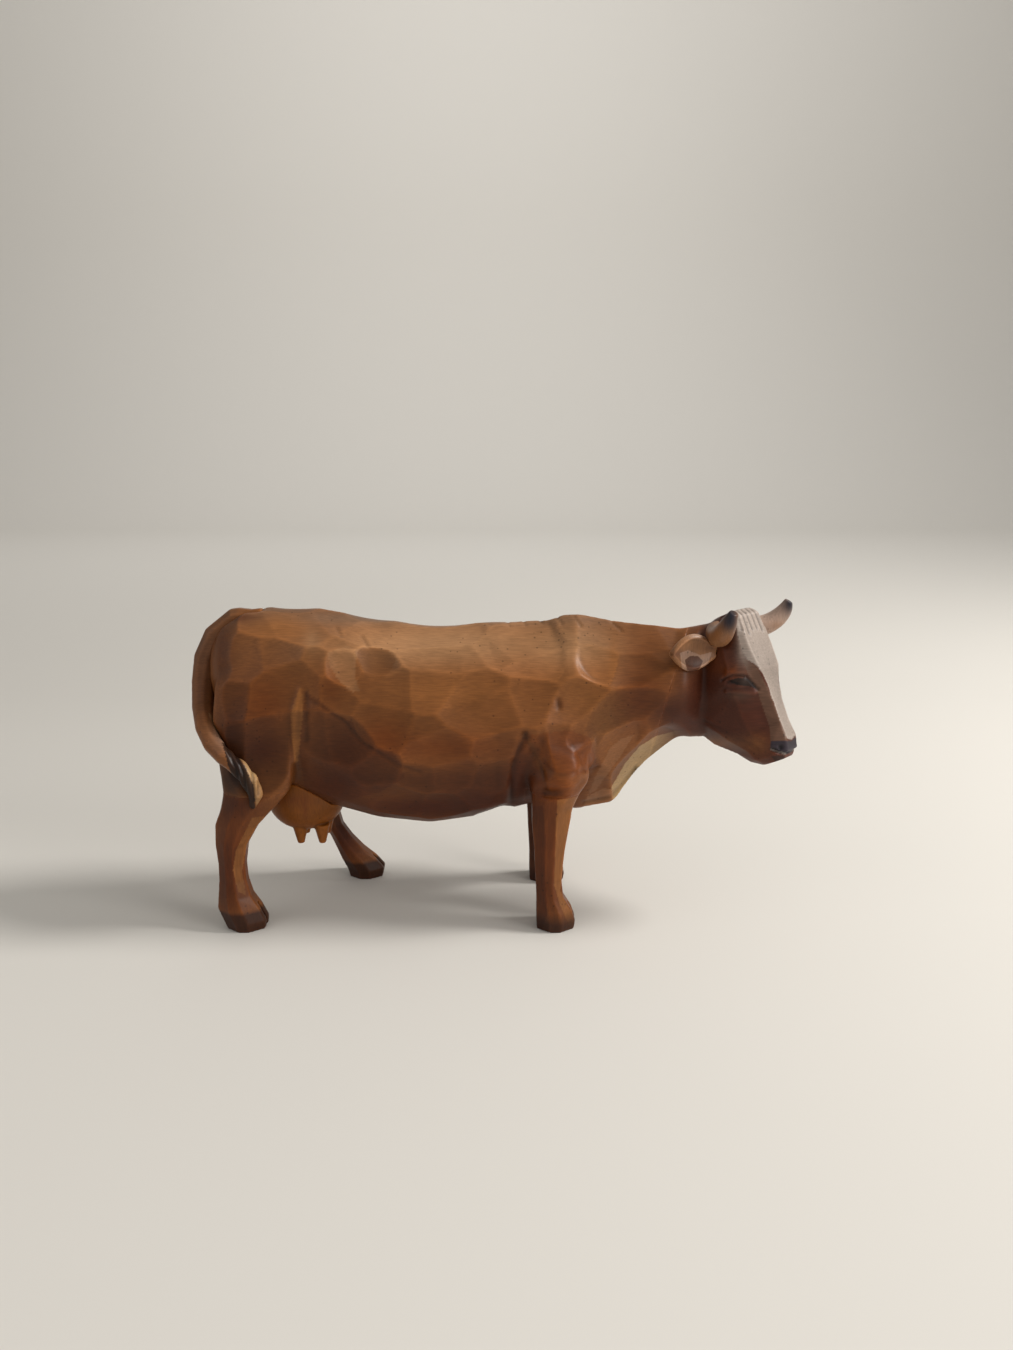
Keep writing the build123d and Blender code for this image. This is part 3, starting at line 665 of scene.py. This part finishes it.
# The peach stroke and area are a painted highlight on the tail's lit edge; the soot marks are the brush's dark stain
# together with painted shadow where the tail stands off the thigh
tail_strokes = [
    (205, 645, 20, 60, "bark", 0.5), (203, 690, 14, 30, "maroon", 0.25), (222, 610, 20, 8, "top", 0.4),
    (226, 730, 13, 20, "cream", 0.45), (252, 768, 8, 20, "peach", 0.75), (238, 772, 6, 22, "soot", 0.8),
    (246, 796, 12, 16, "soot", 0.8),
]
tail_shapes = [
    ([(208, 712), (222, 726), (240, 744), (252, 758), (264, 776), (262, 800), (256, 806), (254, 785), (244, 764),
      (230, 746), (214, 728)], "peach", 0.35),
    ([(222, 742), (234, 750), (246, 768), (253, 785), (256, 812), (245, 812), (238, 790), (228, 765)], "soot", 0.90),
]
# The pink stroke is a painted highlight on the ear's upper face; the dark area is painted shade in its hollow
ear_strokes = [(698, 632, 12, 6, "pink", 0.6), (678, 654, 10, 5, "maroon", 0.6), (712, 648, 8, 10, "maroon", 0.4)]
ear_shapes = [
    ([(680, 653), (688, 650), (700, 655), (712, 652), (708, 664), (697, 670), (690, 678), (682, 668)], "pink", 0.40),
    ([(685, 660), (690, 656), (698, 656), (703, 661), (700, 668), (693, 673), (687, 670)], "dark", 0.85),
]
near_horn_strokes = [(712, 632, 12, 12, "warm", 0.6), (731, 616, 9, 15, "slate", 1.0), (729, 622, 9, 10, "slate", 0.9)]
far_horn_strokes = [(778, 626, 10, 6, "tan", 0.5), (790, 604, 10, 15, "slate", 1.0)]
# The wide low stroke along the udder's top is painted shade where it meets the belly
udder_strokes = [(305, 806, 3, 16, "red", 0.6), (330, 800, 24, 8, "honey", 0.4), (290, 800, 40, 6, "red", 0.5)]
# Cell of the skin, first stain, slot, strokes and areas of each small piece
small_pieces = {
    "horn_right": (0.2, "tan", "horn_stain", near_horn_strokes, []),
    "horn_left": (0.2, "pink", "horn_stain", far_horn_strokes, []),
    "ear_right": (0.2, "tan", "head_stain", ear_strokes, ear_shapes),
    "ear_left": (0.2, "tan", "head_stain", [], []),
    "udder": (0.3, "gold", "udder_stain", udder_strokes, []),
}
small_wear = 2

# Where the head's stain takes over from the body's, ahead of the neck's glue face
head_stain_lead, head_stain_blend = 4.0, 13.0


def body_colour(points):
    """Stain of the body with its painted shade and highlights, which runs on over legs and neck and turns darker
    towards the head.
    """
    colour = painted(bare(points, "warm"), to_photo(near_side(points)), body_strokes, body_shapes)
    head_pixels = to_photo(head_near_side(points))
    head_colour = painted(bare(points, "maroon"), head_pixels, head_strokes, head_shapes)
    head_colour = brush(head_colour, head_pixels, forehead_strokes)
    face = fade(ahead_of_neck(points) + head_stain_lead, head_stain_blend)[:, None]
    return colour + (head_colour - colour) * face * face * (3 - 2 * face)


crease_strength, darkest_crease, palest_ridge, crease_rounds = 6.0, 0.40, 0.35, 3


def crease_shade(piece):
    """Share of darkening from how hollow the skin is at each corner: stain gathers in hollows and ridges wear pale,
    and with that it paints shade into the hollows and a highlight along the ridges.
    """
    points, outward = corners(piece), normals(piece)
    edges = np.zeros(len(piece.data.edges) * 2, np.int32)
    piece.data.edges.foreach_get("vertices", edges)
    edges = edges.reshape(-1, 2)
    bend, count = np.zeros(len(points)), np.zeros(len(points))
    rel = points[edges[:, 1]] - points[edges[:, 0]]
    long = np.maximum(np.linalg.norm(rel, axis=1), 1e-6)
    for end, sign in ((0, 1), (1, -1)):
        lift = sign * (rel * outward[edges[:, end]]).sum(1) / long
        np.add.at(bend, edges[:, end], lift)
        np.add.at(count, edges[:, end], 1)
    bend /= np.maximum(count, 1)
    # Each round takes the mean of a corner and its neighbours
    for _ in range(crease_rounds):
        total, number = bend.copy(), np.ones(len(bend))
        np.add.at(total, edges[:, 0], bend[edges[:, 1]])
        np.add.at(total, edges[:, 1], bend[edges[:, 0]])
        np.add.at(number, edges[:, 0], 1)
        np.add.at(number, edges[:, 1], 1)
        bend = total / number
    # Darker in hollows as painted shade, paler on ridges as painted highlight
    return np.clip(bend * -crease_strength, -darkest_crease, palest_ridge)


def facet_tone(piece):
    """The lighter or darker tone that each corner's facet has, partly its own and partly painted light."""
    values = np.zeros(len(piece.data.vertices), np.float32)
    piece.data.attributes["tone"].data.foreach_get("value", values)
    return values.astype(float)


def settle(piece, colour, tone, material):
    """Stores each corner's stain on a finished piece, and gives it its material and body."""
    # The tone brings its painted shade and highlight into the stored colour
    shade = np.clip(1 + tone, darkest_shade, palest_shade)[:, None]
    values = np.concatenate([np.clip(colour * shade, 0, 1), np.ones((len(colour), 1))], 1)
    layer = piece.data.attributes.new("stain", "FLOAT_COLOR", "POINT")
    layer.data.foreach_set("color", values.astype(np.float32).ravel())
    piece.data.materials.clear()
    piece.data.materials.append(material)
    piece.data.polygons.foreach_set("material_index", np.zeros(len(piece.data.polygons), np.int32))
    pick(piece)
    bpy.ops.object.shade_smooth()
    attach(piece, "root")


# Materials
def add_node(tree, kind, links=(), **settings):
    """One node with its settings and its links: (own input, other node, its output)."""
    node = tree.nodes.new(kind)
    for name, value in settings.items():
        if name.startswith("in_"):
            socket = node.inputs[int(name[3:])] if name[3:].isdigit() else node.inputs[name[3:].replace("_", " ")]
            socket.default_value = value
        else:
            setattr(node, name, value)
    for own, other, output in links:
        tree.links.new(other.outputs[output], node.inputs[own])
    return node


def pattern_scale(size):
    """Texture scale, to a whole number, at which one cell of a pattern is this many millimetres."""
    return float(round(1 / (size * MM)))


# Pores of limewood are nearer 0.1 mm wide and would not show, so they are drawn coarser
pore_width, pore_stretch, pore_depth = 0.4545, 9, 0.12
cloud_size, speck_spacing, speck_patch = 10.5, 2.38, 16.7
noise_low, noise_high = 0.30, 0.70
fleck_width, fleck_length = 0.6667, 5.0


def stained_limewood(name, along):
    """Carved limewood, stained by airbrush and brush and sprayed with satin lacquer; painted shade and highlights are
    carried in its stain colour.
    The eye sees fine long pores along the grain, small dark specks, and a soft sheen that breaks at each cut."""
    material = bpy.data.materials.new(name)
    material.use_nodes = True
    tree = material.node_tree
    tree.nodes.clear()
    place = add_node(tree, "ShaderNodeTexCoord")
    across = pattern_scale(pore_width)
    stretch = [across / pore_stretch if axis == along else across for axis in "xyz"]
    turned = add_node(tree, "ShaderNodeMapping", [("Vector", place, "Object")], in_Scale=stretch)
    # Each corner's stain colour, with painted shade and highlights in it
    stain = add_node(tree, "ShaderNodeAttribute", attribute_name="stain")
    grain = add_node(tree, "ShaderNodeTexNoise", [("Vector", turned, 0)], in_Scale=1.0, in_Detail=4.0)
    lines = add_node(tree, "ShaderNodeMapRange", [(0, grain, 0)],
                     in_1=noise_low, in_2=noise_high, in_3=0.84, in_4=1.14)
    cloud = add_node(tree, "ShaderNodeTexNoise", [("Vector", place, "Object")],
                     in_Scale=pattern_scale(cloud_size), in_Detail=3.0)
    uneven = add_node(tree, "ShaderNodeMapRange", [(0, cloud, 0)],
                      in_1=noise_low, in_2=noise_high, in_3=0.86, in_4=1.14)
    both = add_node(tree, "ShaderNodeMath", [(0, lines, 0), (1, uneven, 0)], operation="MULTIPLY")
    toned = add_node(tree, "ShaderNodeVectorMath", [(0, stain, "Color"), (1, both, 0)], operation="MULTIPLY")
    dots = add_node(tree, "ShaderNodeTexVoronoi", [("Vector", place, "Object")],
                    in_Scale=pattern_scale(speck_spacing))
    speck = add_node(tree, "ShaderNodeMapRange", [(0, dots, 0)], in_1=0.10, in_2=0.16, in_3=0.55, in_4=1.0)
    rare = add_node(tree, "ShaderNodeTexNoise", [("Vector", place, "Object")],
                    in_Scale=pattern_scale(speck_patch), in_Detail=1.0)
    few = add_node(tree, "ShaderNodeMapRange", [(0, rare, 0)], in_1=0.52, in_2=0.60, in_3=1.0, in_4=0.0)
    speckled = add_node(tree, "ShaderNodeMath", [(0, speck, 0), (1, few, 0)], operation="MAXIMUM")
    colour = add_node(tree, "ShaderNodeVectorMath", [(0, toned, 0), (1, speckled, 0)], operation="MULTIPLY")
    bump = add_node(tree, "ShaderNodeBump", [("Height", grain, 0)], in_Strength=0.25, in_Distance=pore_depth * MM)
    gloss = add_node(tree, "ShaderNodeMapRange", [(0, cloud, 0)],
                     in_1=noise_low, in_2=noise_high, in_3=0.36, in_4=0.50)
    skin = add_node(tree, "ShaderNodeBsdfPrincipled",
                    [("Base Color", colour, 0), ("Roughness", gloss, 0), ("Normal", bump, 0)],
                    in_Coat_Weight=0.06, in_Coat_Roughness=0.30, in_Specular_IOR_Level=0.20)
    add_node(tree, "ShaderNodeOutputMaterial", [("Surface", skin, 0)])
    return material


def bare_beech(name):
    """Turned beech pegs, left bare: pale and even, with short fine flecks."""
    material = bpy.data.materials.new(name)
    material.use_nodes = True
    tree = material.node_tree
    skin = tree.nodes["Principled BSDF"]
    skin.inputs["Roughness"].default_value = 0.7
    place = add_node(tree, "ShaderNodeTexCoord")
    across, along = pattern_scale(fleck_width), pattern_scale(fleck_length)
    turned = add_node(tree, "ShaderNodeMapping", [("Vector", place, "Object")], in_Scale=(across, across, along))
    fleck = add_node(tree, "ShaderNodeTexNoise", [("Vector", turned, 0)], in_Scale=1.0, in_Detail=3.0)
    ramp = add_node(tree, "ShaderNodeValToRGB", [("Fac", fleck, 0)])
    dark_end, pale_end = ramp.color_ramp.elements
    dark_end.position, dark_end.color = 0.35, (*linear("#B98E63"), 1)
    pale_end.position, pale_end.color = 0.65, (*linear("#D8B68A"), 1)
    tree.links.new(ramp.outputs["Color"], skin.inputs["Base Color"])
    return material


def matt_board(name, code):
    """Matt painted board: pale and plain, so that only the figurine's shadow shows on it."""
    material = bpy.data.materials.new(name)
    material.use_nodes = True
    skin = material.node_tree.nodes["Principled BSDF"]
    skin.inputs["Base Color"].default_value = (*linear(code), 1)
    skin.inputs["Roughness"].default_value = 0.9
    return material


body_wood = stained_limewood("stained_limewood_body", "x")
leg_wood = stained_limewood("stained_limewood_legs", "z")
beech = bare_beech("bare_beech")

# Glued body: last cuts, then parted at the glue faces
coarse, fine = glued_body("coarse_body", trunk_cell), glued_body("fine_body", limb_cell)
cuts, cut_tones = body_cuts(coarse)
for body in (coarse, fine):
    tone = cut_facets(body, cuts, cut_tones)
    body.data.attributes.new("tone", "FLOAT", "POINT").data.foreach_set("value", tone.astype(np.float32))
    wear(body, 1)
    cut_lines(body, to_photo(near_side(corners(body))), body_lines)
    cut_lines(body, right_half(corners(body)), head_lines)
    cut_lines(body, to_photo(head_near_side(corners(body))), lid_lines)
    cut_lines(body, forehead_places(corners(body)), forelock_lines)

tools = {node: leg_cutter(node + "_cutter", block) for node, block in leg_blocks.items()}
tools["head"] = head_cutter()
parts = {node: cut_out(fine, tool, node + "_carved", node) for node, tool in tools.items()}
for tool in tools.values():
    finish_with(coarse, "BOOLEAN", operation="DIFFERENCE", object=tool, solver="MANIFOLD")
trunk = coarse
trunk.name = "trunk_carved"
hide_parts("trunk")
for helper in (fine, *tools.values()):
    bpy.data.objects.remove(helper)

# Trunk and head
settle(trunk, body_colour(corners(trunk)), facet_tone(trunk) + crease_shade(trunk), body_wood)
head = parts["head"]
settle(head, body_colour(corners(head)), facet_tone(head) + crease_shade(head), body_wood)

# Legs
hoof_top, hoof_strength = 6.8, 0.85
hoof_fades = {"front": 4.0, "hind": 1.2}
inner_side, inner_strength = 17.0, 0.35
for node in leg_blocks:
    leg = parts[node]
    points = corners(leg)
    # The far hind leg is set forward, so its stain is placed where the photo shows it
    set_forward = node == "hind_left_leg"
    pixels = to_photo(points if set_forward else near_side(points))
    colour = painted(body_colour(points), pixels, leg_strokes[node], leg_shapes[node])
    hoof = fade(hoof_top - points[:, 2], hoof_fades[node.split("_")[0]])[:, None]
    colour += (LINEAR["hoof"] - colour) * hoof * hoof_strength
    # Inner faces of the near legs are darkened as painted shade between the legs
    if not set_forward:
        inner = (np.abs(points[:, 1]) < inner_side)[:, None]
        colour += (LINEAR["dark"] - colour) * inner * inner_strength
    settle(leg, colour, facet_tone(leg) + crease_shade(leg), leg_wood)

# Tail: its root is pressed down into the groove of the rump
tail_cell, tail_wear = 0.35, 12
tail_root_start, tail_root_fade, tail_root_press = -80.5, 4.0, 0.9
tail = carved_copy("tail", tail_cell, tail_wear)
points = corners(tail)
points[:, 2] -= tail_root_press * fade(points[:, 0] - tail_root_start, tail_root_fade)
set_corners(tail, points)
cut_lines(tail, to_photo(points), tail_lines)
points = corners(tail)
colour = painted(bare(points, "warm"), to_photo(near_side(points)), tail_strokes, tail_shapes)
settle(tail, colour, crease_shade(tail), body_wood)

# Horns, ears and udder
for node, (cell, stain, slot_name, strokes, shapes) in small_pieces.items():
    piece = carved_copy(node, cell, small_wear)
    points = corners(piece)
    colour = painted(bare(points, stain), to_photo(points), strokes, shapes)
    settle(piece, colour, crease_shade(piece), leg_wood)

# Pegs and dowels
for node in ("leg_dowels", "neck_dowels", "tail_peg", "udder_peg"):
    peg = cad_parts[node]
    peg.data.materials.clear()
    peg.data.materials.append(beech)

# Stage, in metres: a board that bends up into a wall behind the figurine
board_size, board_widening, board_back = 4.0, 3, 0.6
wall_height, wall_bend, bend_steps = 3, 0.8, 12
bpy.ops.object.select_all(action="DESELECT")
bpy.ops.mesh.primitive_plane_add(size=board_size, location=(0, board_back, 0))
floor = bpy.context.object
floor.name = "floor"
bpy.ops.object.mode_set(mode="EDIT")
bpy.ops.mesh.select_all(action="SELECT")
bpy.ops.transform.resize(value=(board_widening, 1, 1))
bpy.ops.mesh.select_all(action="DESELECT")
bpy.ops.object.mode_set(mode="OBJECT")
for edge in floor.data.edges:
    edge.select = all(floor.data.vertices[i].co.y > 1 for i in edge.vertices)
bpy.ops.object.mode_set(mode="EDIT")
bpy.ops.mesh.select_mode(type="EDGE")
bpy.ops.mesh.extrude_region_move(TRANSFORM_OT_translate={"value": (0, 0, wall_height)})
bpy.ops.object.mode_set(mode="OBJECT")
finish_with(floor, "BEVEL", width=wall_bend, segments=bend_steps)
bpy.ops.object.shade_smooth()
floor.data.materials.append(matt_board("matt_board", "#DAD6CF"))

# Lamps: place and aim in metres, width in metres, power in watts, tint
lamps = {
    "key": ((0.85, 0.0, 0.80), (0, 0, 0.06), 0.35, 10.5, (1.0, 0.98, 0.95)),
    "front": ((0.95, -0.62, 0.50), (0, 0, 0.05), 0.5, 4.2, (1.0, 0.97, 0.94)),
    "fill": ((-0.9, -0.5, 0.6), (0, 0, 0.05), 0.9, 1.2, (0.96, 0.98, 1.0)),
    "wall": ((0.0, 0.9, 1.7), (0.0, 2.6, 1.1), 1.2, 18.0, (1.0, 1.0, 1.0)),
}
for name, (place, aim, width, power, tint) in lamps.items():
    lamp = bpy.data.lights.new(name, "AREA")
    lamp.shape, lamp.size, lamp.energy, lamp.color = "DISK", width, power, tint
    holder = placed(name, lamp)
    holder.location = place
    holder.rotation_euler = (Vector(aim) - Vector(place)).to_track_quat("-Z", "Y").to_euler()

room_light = 0.46
world = bpy.data.worlds.new("soft_room")
bpy.context.scene.world = world
world.use_nodes = True
world.node_tree.nodes["Background"].inputs["Color"].default_value = (*linear("#E8E6E2"), 1)
world.node_tree.nodes["Background"].inputs["Strength"].default_value = room_light

# Camera
view = bpy.data.cameras.new("photo_view")
view.lens = focal_px * sensor_width / photo_high
view.clip_start = 0.01
holder = placed("photo_view", view)
holder.location = Vector(camera_place * MM)
holder.rotation_euler = (math.radians(90) - camera_tilt, 0, 0)
bpy.context.scene.camera = holder
bpy.context.scene.view_settings.view_transform = "Standard"
